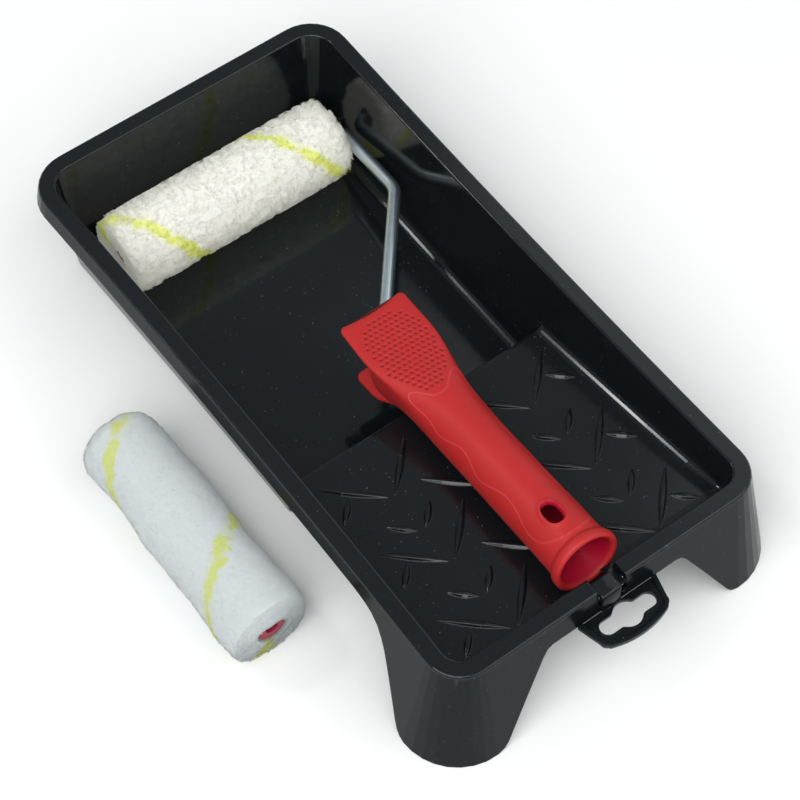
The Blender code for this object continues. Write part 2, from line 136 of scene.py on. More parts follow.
def tray_plastic():
    """Black polypropylene, glossy in the basin and duller on the skirt and legs, with dust and flow marks."""
    g = Graph("tray_plastic")
    space = g.object_space()
    patches = g.noise(space, 11.0, 3.0)
    flow = g.noise(g.object_space((1.0, 0.35, 1.0)), 60.0, 5.0, 0.6)
    specks = g.ramp(g.noise(space, 760.0, 1.0), 0.75, 0.78)
    base = g.mix(patches, (0.0032, 0.0046, 0.0056), (0.0046, 0.0064, 0.0076))
    g.set(Base_Color=g.mix(g.math("MULTIPLY", specks, 0.5), base, (0.09, 0.1, 0.1)))
    outside = outside_mask(g, space)
    g.set(Specular_IOR_Level=g.ramp(outside, 0.0, 1.0, 0.38, 0.1))
    smudge = g.math("ADD", g.ramp(patches, 0.35, 0.7, 0.08, 0.14), g.ramp(flow, 0.45, 0.75, 0.0, 0.07))
    g.set(Roughness=g.math("ADD", smudge, g.math("MULTIPLY", outside, 0.08)))
    worn = g.node("ShaderNodeBevel", samples=6)
    worn.inputs["Radius"].default_value = ARRIS_RADIUS
    g.bump(g.noise(space, 500.0, 2.0), 0.05, 0.00002, worn.outputs[0])
    return g.mat


def outside_mask(g, space):
    """1 on the tray's skirt and legs, which lie under the rim and outside the basin's walls, and 0 inside."""
    axes = g.node("ShaderNodeSeparateXYZ")
    g.link(space, axes.inputs[0])
    x, y, z = axes.outputs
    beside = g.ramp(g.math("ABSOLUTE", x), 0.0772, 0.0786)
    before = g.ramp(y, -0.2168, -0.2178)
    behind = g.ramp(y, 0.0945, 0.0955)
    around = g.math("MAXIMUM", beside, g.math("MAXIMUM", before, behind))
    return g.math("MULTIPLY", around, g.ramp(z, 0.0597, 0.0589))


def handle_plastic():
    """Red plastic, with painted shade that makes it darker in the pits and inside the tube, and a painted
    highlight that makes it paler along the raised line.
    """
    g = Graph("handle_plastic")
    space = g.object_space()
    grain = g.noise(space, 700.0, 2.0)
    plain = g.mix(g.noise(space, 30.0), (0.32, 0.013, 0.0135), (0.37, 0.018, 0.0185))
    detail = g.node("ShaderNodeAttribute", attribute_name="detail")
    split = g.node("ShaderNodeSeparateColor")
    g.link(detail.outputs["Color"], split.inputs[0])
    # Painted shade: the pits are darker, as if shade fell in them.
    pit_shaded = g.mix(split.outputs[0], plain, (0.2, 0.006, 0.008))
    # Painted highlight: the raised line is paler, as if it caught the light.
    ridge_highlighted = g.mix(split.outputs[1], pit_shaded, (0.5, 0.05, 0.05))
    # Painted shade: the inside of the tube is darker and deeper red.
    g.set(Base_Color=g.mix(split.outputs[2], ridge_highlighted, (0.3, 0.003, 0.018)))
    g.set(Roughness=g.ramp(grain, 0.3, 0.7, 0.42, 0.5), Specular_IOR_Level=0.24)
    g.bump(grain, 0.08, 0.00005)
    return g.mat


def wire_steel():
    """Zinc plated steel, with a fine mottle."""
    g = Graph("wire_steel")
    space = g.object_space()
    g.set(Base_Color=g.mix(g.noise(space, 300.0, 4.0), (0.5, 0.58, 0.64), (0.68, 0.76, 0.82)), Metallic=1.0)
    g.set(Roughness=0.34)
    return g.mat


def plug_plastic():
    """Deep red plastic, with a faint variation."""
    g = Graph("plug_plastic")
    space = g.object_space()
    g.set(Base_Color=g.mix(g.noise(space, 80.0), (0.2, 0.004, 0.02), (0.26, 0.008, 0.032)), Roughness=0.5)
    return g.mat


def pile_fabric(name, pale, shade, stripe, painted_glow):
    """Fleece with a painted glow: its emission brightens the pile where no lamp lights it, standing in for
    light scattered through it. Each strand's shading is softened towards the direction away from the sleeve's
    axis.
    """
    g = Graph(name)
    space = g.object_space()
    strand = g.node("ShaderNodeAttribute", attribute_name="strand")
    split = g.node("ShaderNodeSeparateColor")
    g.link(strand.outputs["Color"], split.inputs[0])
    fluff = g.noise(space, 500.0, 3.0, 0.6)
    tone_and_shade = g.math("ADD", g.math("MULTIPLY", split.outputs[1], 0.7), g.math("MULTIPLY", fluff, 0.3))
    # Painted shade: a low tone, at the strands' roots and in the skin's creases, turns the colour towards the
    # shaded one; the tone also differs at random.
    plain = g.mix(tone_and_shade, shade, pale)
    colour = g.mix(split.outputs[0], plain, g.mix(tone_and_shade, stripe[0], stripe[1]))
    g.set(Base_Color=colour, Roughness=0.9, Specular_IOR_Level=0.0, Sheen_Weight=0.15, Sheen_Roughness=0.6)
    # Painted glow: the pile emits its own colour, so that it looks brighter than the lamps alone make it.
    g.set(Emission_Color=colour, Emission_Strength=painted_glow)
    soft = g.node("ShaderNodeAttribute", attribute_name="outward")
    turn = g.node("ShaderNodeVectorTransform", vector_type="NORMAL")
    turn.convert_from, turn.convert_to = "OBJECT", "WORLD"
    g.link(soft.outputs["Vector"], turn.inputs[0])
    own = g.node("ShaderNodeNewGeometry")
    blend = g.node("ShaderNodeMix", data_type="VECTOR")
    blend.inputs[0].default_value = 0.1
    g.link(turn.outputs[0], blend.inputs[4])
    g.link(own.outputs["Normal"], blend.inputs[5])
    unit = g.node("ShaderNodeVectorMath", operation="NORMALIZE")
    g.link(blend.outputs[1], unit.inputs[0])
    g.link(unit.outputs[0], g.shader.inputs["Normal"])
    through = g.node("ShaderNodeBsdfTranslucent")
    g.link(colour, through.inputs["Color"])
    both = g.node("ShaderNodeMixShader")
    both.inputs[0].default_value = 0.45
    g.link(g.shader.outputs[0], both.inputs[1])
    g.link(through.outputs[0], both.inputs[2])
    g.link(both.outputs[0], g.tree.nodes["Material Output"].inputs["Surface"])
    return g.mat


def smooth_group(angle):
    """Geometry nodes that shade a mesh smoothly, apart from edges that turn by more than the angle."""
    tree = bpy.data.node_groups.new("smooth_%d" % angle, "GeometryNodeTree")
    tree.interface.new_socket("Geometry", in_out="INPUT", socket_type="NodeSocketGeometry")
    tree.interface.new_socket("Geometry", in_out="OUTPUT", socket_type="NodeSocketGeometry")
    entry, leave = tree.nodes.new("NodeGroupInput"), tree.nodes.new("NodeGroupOutput")
    faces, edges = (tree.nodes.new("GeometryNodeSetShadeSmooth") for _ in range(2))
    edges.domain = "EDGE"
    turn = tree.nodes.new("GeometryNodeInputMeshEdgeAngle")
    gentle = tree.nodes.new("FunctionNodeCompare")
    gentle.data_type, gentle.operation = "FLOAT", "LESS_EQUAL"
    gentle.inputs[1].default_value = math.radians(angle)
    tree.links.new(turn.outputs["Unsigned Angle"], gentle.inputs[0])
    tree.links.new(gentle.outputs[0], edges.inputs["Shade Smooth"])
    tree.links.new(entry.outputs[0], faces.inputs["Geometry"])
    tree.links.new(faces.outputs[0], edges.inputs["Geometry"])
    tree.links.new(edges.outputs[0], leave.inputs[0])
    return tree


def dress(node, mat):
    """Give a CAD node its material and smooth shading."""
    mesh = nodes[node].data
    mesh.materials.clear()
    mesh.materials.append(mat)
    nodes[node].modifiers.new("smooth", "NODES").node_group = SMOOTH


# ------------------------------------------------------------ shared geometry

# Meshes are made in millimetres, in a frame of their own, and then set in place in metres.
# The grip's frame has x across it, y along it from its open end, and z up out of the thumb pad.
MM = 0.001
FINE = 1.0
CORE_OUTER = 7.5
AXLE = Vector(next(joint["pos_m"] for joint in frame["joints"] if joint["name"] == "sleeve_spin"))
TILT = math.radians(7.7)
GRIP_END = Vector((-2.2, -269.6, 0.4)) * MM
GRIP_YAW = math.radians(-2.1)
TOOL = Matrix.Translation(AXLE) @ Matrix.Rotation(-TILT, 4, "X")
GRIP = TOOL @ Matrix.Translation(GRIP_END) @ Matrix.Rotation(GRIP_YAW, 4, "Z")


def smoothstep(low, high, value):
    """0 below low and 1 above high, with a soft rise between them."""
    t = np.clip((value - low) / (high - low), 0.0, 1.0)
    return t * t * (3.0 - 2.0 * t)


def add_mesh(name, points, faces, place, mat, body, angle=40.0):
    """A piece from points in millimetres, set in place, shaded and riding on its body."""
    mesh = bpy.data.meshes.new(name)
    mesh.from_pydata((np.asarray(points) * MM).tolist(), [], faces)
    mesh.update()
    mesh.transform(place)
    mesh.materials.append(mat)
    obj = bpy.data.objects.new(name, mesh)
    bpy.context.scene.collection.objects.link(obj)
    shade(obj, angle)
    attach(obj, body)
    return obj


def shade(obj, angle):
    """Smooth shading, apart from edges that turn by more than the angle in degrees."""
    obj.data.shade_smooth()
    obj.data.set_sharp_from_angle(angle=math.radians(angle))


def grid_faces(rows, count, first_cap=True, last_cap=True):
    """Quads between closed rings of equal length, with the end rings closed."""
    faces = []
    for r in range(rows - 1):
        a = r * count
        b = a + count
        for i in range(count):
            j = (i + 1) % count
            faces.append((a + i, a + j, b + j, b + i))
    if first_cap:
        faces.append(tuple(reversed(range(count))))
    if last_cap:
        faces.append(tuple(range((rows - 1) * count, rows * count)))
    return faces


def boolean(obj, cutter, operation):
    """Join the cutter to the object or cut it away, and remove the cutter."""
    mod = obj.modifiers.new("cut", "BOOLEAN")
    mod.operation = operation
    mod.solver = "EXACT"
    mod.object = cutter
    depsgraph = bpy.context.evaluated_depsgraph_get()
    mesh = bpy.data.meshes.new_from_object(obj.evaluated_get(depsgraph))
    obj.modifiers.clear()
    obj.data = mesh
    bpy.data.objects.remove(cutter, do_unlink=True)


def turn_outwards(mesh):
    """Turn the faces of a closed mesh to point out of it."""
    bm = bmesh.new()
    bm.from_mesh(mesh)
    bmesh.ops.recalc_face_normals(bm, faces=bm.faces)
    bm.to_mesh(mesh)
    bm.free()


def plain_object(name, points, faces, place):
    """A closed shape from points in millimetres, as a cutter or as stock to be cut."""
    mesh = bpy.data.meshes.new(name)
    mesh.from_pydata((np.asarray(points) * MM).tolist(), [], faces)
    turn_outwards(mesh)
    mesh.transform(place)
    obj = bpy.data.objects.new(name, mesh)
    bpy.context.scene.collection.objects.link(obj)
    return obj


# ------------------------------------------------------------ handle

# Stations along the grip: distance, half width, top, widest height, bottom, powers of the upper
# and lower half, how much narrower the lower half is, and sideways shift.
GRIP_ROWS = np.array([
    (6.0, 14.2, 14.2, 0.0, -14.2, 2.0, 2.0, 0.0, 0.0),
    (14.0, 14.05, 14.05, 0.0, -14.05, 2.0, 2.0, 0.0, 0.0),
    (40.0, 13.85, 13.85, 0.0, -13.85, 2.0, 2.0, 0.0, 0.0),
    (70.0, 13.75, 13.7, 0.0, -13.65, 2.0, 2.0, 0.0, 0.0),
    (86.0, 13.8, 13.6, 0.3, -13.55, 2.05, 2.05, 0.0, 0.0),
    (96.0, 13.9, 13.5, 1.4, -13.5, 2.15, 2.15, 0.01, 0.0),
    (104.0, 14.2, 13.3, 3.4, -13.5, 2.3, 2.35, 0.03, 0.0),
    (111.0, 14.8, 13.1, 5.8, -13.55, 2.45, 2.6, 0.06, 0.0),
    (118.0, 15.7, 12.85, 8.0, -13.7, 2.6, 2.9, 0.09, 0.0),
    (125.0, 16.8, 12.65, 9.4, -14.6, 2.7, 3.2, 0.09, 0.1),
    (133.4, 17.7, 12.45, 10.1, -15.35, 2.8, 3.4, 0.12, 0.3),
    (142.0, 17.8, 12.3, 10.3, -15.3, 2.8, 3.4, 0.14, 0.6),
    (150.0, 17.6, 12.15, 10.3, -15.3, 2.8, 3.4, 0.14, 1.0),
    (156.0, 17.5, 12.0, 10.3, -15.3, 2.8, 3.4, 0.14, 1.4)])
HOLE_X, HOLE_S = -1.9, 21.2
PAD_UNDER = 9.6
MOUTH_S = 133.4
# Angles round the grip become arcs at this radius.
LINE_RADIUS = 13.9
# The dimples' lattice: its two steps, and one of its points.
DIMPLE_STEPS = np.array(((2.74, 0.04), (1.31, -2.85)))
DIMPLE_START = np.array((2.64, 150.0))
# The corners of the dimpled field on the thumb pad, across the grip and along it.
DIMPLE_REGION = [(-4.2, 153.6), (8.0, 154.0), (12.6, 149.5), (15.6, 143.5), (15.5, 135.0), (14.9, 129.3),
                 (13.4, 126.0), (13.3, 119.3), (9.3, 112.0), (4.5, 107.3), (1.6, 104.6), (-3.2, 103.9),
                 (-9.5, 111.5), (-13.4, 119.5), (-14.2, 135.0), (-13.5, 141.6), (-9.3, 150.6)]
# The raised line down one side of the grip, and its arc across the head: the distance along the grip, and the
# angle round it in degrees. The other side mirrors it.
LEFT_WAVE = [(110.6, 138.0), (109.6, 144.5), (104.7, 148.1), (97.2, 146.3), (92.5, 150.0), (88.6, 156.5),
             (83.8, 153.6), (78.0, 143.8), (72.9, 138.5), (66.5, 144.3), (62.6, 153.5), (58.0, 159.5),
             (52.1, 151.6), (47.5, 143.2), (40.4, 137.6), (33.4, 142.8), (28.4, 151.4), (22.9, 157.5),
             (17.6, 155.5), (12.7, 141.2), (9.2, 117.6)]
HEAD_ARC = [(110.6, 138.0), (109.4, 129.5), (105.8, 121.0), (103.6, 115.5), (101.6, 108.0), (100.9, 95.0),
            (101.6, 82.0), (103.6, 73.5), (106.6, 62.0), (109.6, 50.5), (110.6, 42.0)]


def hermite(table, at):
    """Smooth interpolation of each column of the table along its first column."""
    x = table[:, 0]
    slope = np.gradient(table, x, axis=0)
    k = np.clip(np.searchsorted(x, at) - 1, 0, len(x) - 2)
    h = x[k + 1] - x[k]
    t = np.clip((at - x[k]) / h, 0.0, 1.0)
    t, h = t[:, None], h[:, None]
    return ((2 * t ** 3 - 3 * t ** 2 + 1) * table[k] + (t ** 3 - 2 * t ** 2 + t) * h * slope[k]
            + (3 * t ** 2 - 2 * t ** 3) * table[k + 1] + (t ** 3 - t ** 2) * h * slope[k + 1])


def rounded_line(points, turns):
    """An open line near the points, smoothed by cutting its corners."""
    line = [np.array(p) for p in points]
    for _ in range(turns):
        cut = [line[0]]
        for a, b in zip(line, line[1:]):
            cut += [a * 0.75 + b * 0.25, a * 0.25 + b * 0.75]
        line = cut + [line[-1]]
    return np.array(line)


def distance_to_line(points, line):
    """How far each point lies from the nearest stretch of the line."""
    nearest = np.full(len(points), 1e9)
    for a, b in zip(line, line[1:]):
        along = b - a
        t = np.clip(((points - a) @ along) / max(along @ along, 1e-9), 0.0, 1.0)
        nearest = np.minimum(nearest, np.hypot(*(points - a - t[:, None] * along).T))
    return nearest


def inside_region(points, corners):
    """Whether each point lies inside the closed outline."""
    inside = np.zeros(len(points), bool)
    for (x1, y1), (x2, y2) in zip(corners, corners[1:] + corners[:1]):
        crosses = (y1 > points[:, 1]) != (y2 > points[:, 1])
        inside ^= crosses & (points[:, 0] < (x2 - x1) * (points[:, 1] - y1) / (y2 - y1 + 1e-12) + x1)
    return inside


def grip_surface(s, angles):
    """Points of the grip's outside, one ring for each distance s."""
    row = hermite(GRIP_ROWS, s)
    half, top, wide, low, up_power, down_power, taper, shift = (row[:, k][:, None] for k in range(1, 9))
    c, d = np.cos(angles)[None, :], np.sin(angles)[None, :]
    upper = d >= 0.0
    deep = s[:, None] <= MOUTH_S
    low = np.where(deep, low, PAD_UNDER)
    taper = np.where(deep, taper, 0.03)
    power = np.where(upper, up_power, down_power)
    rise = np.sign(d) * np.abs(d) ** (2.0 / power)
    x = np.sign(c) * np.abs(c) ** (2.0 / power) * half
    x = x * np.where(upper, 1.0, 1.0 + taper * rise)
    z = wide + np.where(upper, top - wide, wide - low) * rise
    front = smoothstep(138.0, 158.0, s)[:, None]
    y = s[:, None] + front * (0.0072 * (x + 3.5) ** 2 - 0.8)
    return np.stack([x + shift, y + 0.0 * x, z], axis=-1)


def dimple_pits(x, s, z):
    """How deep each point lies in a dimple, 0 to 1. The dimples form a slanted lattice on the thumb pad."""
    flat = np.stack([x, s], axis=1) - DIMPLE_START
    cell = flat @ np.linalg.inv(DIMPLE_STEPS.T).T
    nearest = np.full(len(x), 1e9)
    centre = np.zeros_like(flat)
    for i in (0, 1):
        for j in (0, 1):
            pick = np.floor(cell) + np.array((i, j))
            spot = pick @ DIMPLE_STEPS
            gap = np.hypot(*(flat - spot).T)
            centre = np.where((gap < nearest)[:, None], spot, centre)
            nearest = np.minimum(nearest, gap)
    marked = inside_region(centre + DIMPLE_START, DIMPLE_REGION) & (z > 9.0)
    return np.where(marked, 1.0 - smoothstep(0.45, 1.05, nearest), 0.0)


def contour_line(x, s, z):
    """How strongly each point lies on the raised line, 0 to 1."""
    arc_of_degree = math.radians(LINE_RADIUS)
    around = np.stack([s, np.degrees(np.arctan2(z, x)) * arc_of_degree], axis=1)
    top = [(8.0, 92.0)]
    mirrored = [(along, 180.0 - angle) for along, angle in LEFT_WAVE]
    line = np.zeros(len(x))
    for track in (LEFT_WAVE + top, mirrored + top, HEAD_ARC):
        gap = distance_to_line(around, rounded_line(track, 3) * np.array((1.0, arc_of_degree)))
        line = np.maximum(line, np.exp(-(gap / 0.34) ** 2))
    return line


def grip_details(points):
    """How far each point of the grip's outside is raised in millimetres, its pit and its raised line."""
    x, s, z = points.T
    pit = dimple_pits(x, s, z)
    line = contour_line(x, s, z)
    hole = np.hypot((x - HOLE_X) / 4.5, (s - HOLE_S) / 6.3)
    rim = np.where(z > 0.0, 0.45 * np.exp(-((hole - 1.03) / 0.16) ** 2), 0.0)
    return -0.45 * pit + 0.16 * line + rim, pit, line


def raise_details(outside):
    """The grip's outside with its details raised along its normals, and the pits' and the line's strength."""
    flat = outside.reshape(-1, 3)
    ring_next = np.roll(outside, -1, axis=1) - np.roll(outside, 1, axis=1)
    row_next = np.gradient(outside, axis=0)
    normal = np.cross(ring_next, row_next).reshape(-1, 3)
    normal /= np.maximum(np.linalg.norm(normal, axis=1), 1e-9)[:, None]
    centre = flat * np.array((0.0, 1.0, 0.0))
    facing = np.sign(np.sum(normal * (flat - centre), axis=1))[:, None]
    raised, pit, line = grip_details(flat)
    return (flat + normal * facing * raised[:, None]).reshape(outside.shape), pit, line


def handle_body(mat):
    """The hollow handle, as rings out of its bore, round its rolled lip and along its outside to the pad."""
    s_rows = np.concatenate([np.linspace(6.0, 98.0, int(116 * FINE)),
                             np.linspace(98.4, MOUTH_S, int(96 * FINE)),
                             np.linspace(MOUTH_S + 0.05, 156.0, int(66 * FINE))])
    top_count, low_count = int(210 * FINE), int(74 * FINE)
    angles = np.concatenate([np.linspace(0.0, math.pi, top_count, endpoint=False),
                             np.linspace(math.pi, 2.0 * math.pi, low_count, endpoint=False)])
    outside, pit, line = raise_details(grip_surface(s_rows, angles))
    count = len(angles)
    circle = np.stack([np.cos(angles), 0.0 * angles, np.sin(angles)], axis=1)
    bore = [(87.0, 0.4), (87.0, 10.6), (86.0, 11.2), (60.0, 11.4), (30.0, 11.7), (8.0, 12.1), (2.6, 12.75)]
    turns = [math.radians(-80.0 + 160.0 * k / 12.0) for k in range(13)]
    lip = [(1.45 - 1.45 * math.cos(a), 14.4 + 1.45 * math.sin(a)) for a in turns]
    collar = [(2.6, 15.84), (3.6, 15.72), (4.6, 15.3), (5.3, 14.75), (5.7, 14.4)]
    rings = [circle * r + np.array((0.0, s, 0.0)) for s, r in bore + lip + collar]
    start = len(rings) * count
    rings += list(outside)
    tip = outside[-1]
    middle = tip.mean(axis=0)
    for step, shrink, forward in ((1, 0.985, 0.9), (2, 0.955, 1.6), (3, 0.92, 2.1), (4, 0.88, 2.4)):
        ring = middle + (tip - middle) * np.array((shrink, 1.0, 1.0 - 0.17 * step))
        rings.append(ring + np.array((0.0, forward, 0.0)))
    points = np.concatenate(rings)
    faces = grid_faces(len(rings), count)
    obj = add_mesh("handle_body", points, faces, GRIP, mat, "frame")
    turn_outwards(obj.data)
    # These colours carry painted light for the material: painted shade in the pits, a painted highlight along
    # the raised line, and painted shade inside the bore.
    colours = np.zeros((len(points), 4))
    colours[start:start + len(pit), 0] = pit
    colours[start:start + len(pit), 1] = 0.5 * line
    colours[:len(bore) * count, 2] = 1.0
    detail = obj.data.attributes.new("detail", "FLOAT_COLOR", "POINT")
    detail.data.foreach_set("color", colours.astype(np.float32).ravel())
    return obj


def super_ring(s, half, top, low, power, count):
    """A rounded box outline across the grip at s, which is an ellipse where the power is 2."""
    a = np.linspace(0.0, 2.0 * math.pi, count, endpoint=False)
    c, d = np.cos(a), np.sin(a)
    x = np.sign(c) * np.abs(c) ** (2.0 / power) * half
    z = np.sign(d) * np.abs(d) ** (2.0 / power) * (top - low) / 2.0 + (top + low) / 2.0
    return np.stack([x, s + 0.0 * x, z], axis=1)


def loft(name, rings, place):
    """A closed shape through rings of equal length."""
    return plain_object(name, np.concatenate(rings), grid_faces(len(rings), len(rings[0])), place)


def cut_handle(obj):
    """Open the mouth round the wire's boss, and the hanging hole."""
    mouth = ((120.0, 10.6, 0.0), (121.0, 11.6, 0.0), (132.4, 13.3, 0.0),
             (133.0, 13.55, 0.15), (133.36, 13.9, 0.5), (134.2, 14.0, 0.6))
    flaring = [super_ring(s, half, 8.4 + grow, -12.2 - grow, 5.0, 40) for s, half, grow in mouth]
    throat = loft("throat", flaring, GRIP)
    core = ((112.0, 7.2, -7.2), (130.6, 6.5, -6.4), (131.8, 6.1, -6.0), (132.4, 5.3, -5.2))
    boss = loft("boss", [super_ring(s, half, 9.5, low, 3.2, 32) for s, half, low in core], GRIP)
    boolean(throat, boss, "DIFFERENCE")
    socket = loft("socket", [super_ring(s, 3.3, 2.9, -3.7, 2.0, 32) for s in (101.0, 133.5)], GRIP)
    boolean(throat, socket, "UNION")
    hole = []
    flare = ((20.0, 1.9), (15.0, 1.4), (14.2, 0.75), (13.6, 0.25), (12.9, 0.0), (-13.2, 0.0), (-20.0, 0.3))
    for z, grow in flare:
        ring = super_ring(0.0, 3.7 + grow, 5.5 + grow, -5.5 - grow, 2.6, 36)
        hole.append(np.stack([ring[:, 0] + HOLE_X, ring[:, 2] + HOLE_S, ring[:, 1] + z], axis=1))
    boolean(throat, loft("hole", hole, GRIP), "UNION")
    boolean(obj, throat, "DIFFERENCE")
    shade(obj, 38.0)


def handle_tongue(mat):
    """The hook plate under the mouth, with rounded front corners and soft edges."""
    plan = [(8.5, 124.0), (10.6, 128.0), (12.6, 131.0), (14.3, 134.0), (15.1, 138.0), (15.2, 147.6)]
    for k in range(9):
        a = math.radians(11.25 * k)
        plan.append((12.0 + 3.2 * math.cos(a), 148.0 + 3.2 * math.sin(a)))
    plan += [(6.0, 151.45), (0.0, 151.55)]
    plan = np.array(plan + [(-x, y) for x, y in reversed(plan[:-1])])
    middle = np.array((0.0, 137.0))
    inward = (middle - plan) / np.linalg.norm(middle - plan, axis=1)[:, None]
    rings = []
    for z, shrink in ((-15.35, 0.62), (-15.3, 0.15), (-15.0, 0.0), (-13.7, 0.0), (-13.3, 0.2), (-13.2, 0.75)):
        ring = plan + inward * shrink
        rings.append(np.stack([ring[:, 0], ring[:, 1], np.full(len(ring), z)], axis=1))
    faces = grid_faces(len(rings), len(plan))
    obj = add_mesh("handle_tongue", np.concatenate(rings), faces, GRIP, mat, "frame", 50.0)
    turn_outwards(obj.data)


# ------------------------------------------------------------ hang tab

# The tab's frame stands on the middle of the rim's front edge, at the rim's top. The plate lies below it.
RIM_TOP = round(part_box("tray")[1].z, 4)
RIM_FRONT = -0.221
RIM = Matrix.Translation((0.0, RIM_FRONT, RIM_TOP))
TAB_PLATE = -11.3


def prism(corners, axis, low, high):
    """A straight block with these corners, along z, or along x from corners in y and z."""
    count = len(corners)
    if axis == "z":
        points = [(u, v, w) for w in (low, high) for u, v in corners]
    else:
        points = [(w, u, v) for w in (low, high) for u, v in corners]
    return plain_object("block", points, grid_faces(2, count), RIM)


def sweep(x, y, r, first, last, steps):
    """Points of an arc round x and y, from the first angle to the last in degrees."""
    angles = [math.radians(first + (last - first) * k / steps) for k in range(steps + 1)]
    return [(x + r * math.cos(a), y + r * math.sin(a)) for a in angles]


def plate_outline(grow):
    """The tab's plate: a straight edge at the rim, round corners and a bowed front."""
    corner = sweep(14.5, -14.1, 3.1 + grow, 6.0, -66.0, 10)
    bow = sweep(0.0, 21.5, 42.1 + grow, -69.0, -111.0, 24)
    mirrored = [(-x, y) for x, y in reversed(corner)]
    return [(20.5 + grow, -2.9 - grow)] + corner + bow + mirrored + [(-20.5 - grow, -2.9 - grow)]


def slot_outline(grow):
    """The three-lobed slot: two round ends and a wider middle, joined by soft waists."""
    across = np.linspace(-1.0, 1.0, 61)
    x = 14.2 * np.sin(across * math.pi / 2.0)
    ends = np.sqrt(np.maximum(3.65 ** 2 - np.maximum(np.abs(x) - 10.55, 0.0) ** 2, 0.0))
    middle = np.sqrt(np.maximum(6.3 ** 2 - x ** 2, 0.0))
    half = np.log(np.exp(2.2 * ends) + np.exp(2.2 * middle)) / 2.2
    half = np.where(np.abs(x) > 9.0, ends, half)
    upper = np.stack([x, half], axis=1)
    line = np.concatenate([upper, (upper * np.array((1.0, -1.0)))[-2:0:-1]])
    away = line / np.maximum(np.linalg.norm(line, axis=1), 1e-6)[:, None]
    return [(px, py - 10.1) for px, py in (line + away * grow)[::-1]]


def hang_tab(mat):
    """The plate with its raised border and slot, and the arm that hooks over the rim through the notch."""
    tab = prism(plate_outline(0.0), "z", TAB_PLATE - 1.8, TAB_PLATE)
    border = prism(plate_outline(0.0), "z", TAB_PLATE - 0.5, TAB_PLATE + 1.3)
    boolean(border, prism(plate_outline(-1.9), "z", TAB_PLATE - 2.0, TAB_PLATE + 3.0), "DIFFERENCE")
    boolean(tab, border, "UNION")
    boolean(tab, prism(slot_outline(0.7), "z", TAB_PLATE - 0.6, TAB_PLATE + 0.5), "UNION")
    boolean(tab, prism(slot_outline(0.0), "z", TAB_PLATE - 5.0, TAB_PLATE + 5.0), "DIFFERENCE")
    arm = [(-3.5, -12.9), (-2.9, -12.9), (-2.9, -8.7), (-0.5, -8.7), (-0.5, -3.1), (4.4, -3.1), (4.8, -6.6),
           (5.8, -6.6), (6.4, -1.5), (5.2, -0.45), (2.4, -0.7), (0.2, -0.6), (-1.4, -0.2), (-2.4, -0.5),
           (-2.9, -1.6), (-3.3, -10.0)]
    boolean(tab, prism(arm, "x", -8.0, 1.8), "UNION")
    boolean(tab, prism([(-0.45, -5.4), (10.0, -5.4), (10.0, -4.6), (-0.45, -4.6)], "x", 1.0, 6.0), "UNION")
    boolean(tab, prism([(2.4, -5.3), (9.6, -5.3), (9.6, -4.7), (2.4, -4.7)], "x", 5.5, 8.4), "UNION")
    tab.name = "hang_tab_detail"
    tab.data.materials.clear()
    tab.data.materials.append(mat)
    soft = tab.modifiers.new("soft", "BEVEL")
    soft.width, soft.segments, soft.limit_method, soft.angle_limit = 0.00025, 2, "ANGLE", math.radians(40.0)
    tab.modifiers.new("smooth", "NODES").node_group = SMOOTH
    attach(tab, "tray")
    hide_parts("hang_tab")


# ------------------------------------------------------------ pile

HASH_PRIMES = (73856093, 19349663, 83492791)
# How far the pile stands past half its length before it is held back, and how much farther it may come.
END_REACH = 2.6
END_SOFTNESS = 0.7
BUNCHES = 6
STRANDS = 6100
STRAND_STEPS = 6
STRAND_SIDES = 3
# The skin's profile at an end, from the lip of the opening outwards: the distance beyond the sleeve's half
# length, and the share of the radius.
END_CURVE = [(1.6, 0.0), (3.0, 0.12), (3.9, 0.3), (4.2, 0.5), (3.9, 0.68), (2.9, 0.83), (1.1, 0.94),
             (-1.6, 0.99), (-4.5, 1.0)]


def lattice_noise(points, cell, seed):
    """Smooth noise in -1..1 from random values on a cubic grid."""
    q = points / cell
    base = np.floor(q).astype(np.int64)
    t = q - base
    t = t * t * (3.0 - 2.0 * t)
    total = np.zeros(len(points))
    for corner in range(8):
        step = np.array([(corner >> k) & 1 for k in range(3)])
        cellid = base + step
        mixed = (cellid * np.array(HASH_PRIMES)).T
        mixed = mixed[0] ^ mixed[1] ^ mixed[2] ^ (seed * 2654435)
        mixed = (mixed ^ (mixed >> 13)) * 1274126177
        value = ((mixed ^ (mixed >> 16)) & 0xFFFF) / 32767.5 - 1.0
        total += value * np.prod(np.where(step, t, 1.0 - t), axis=1)
    return total


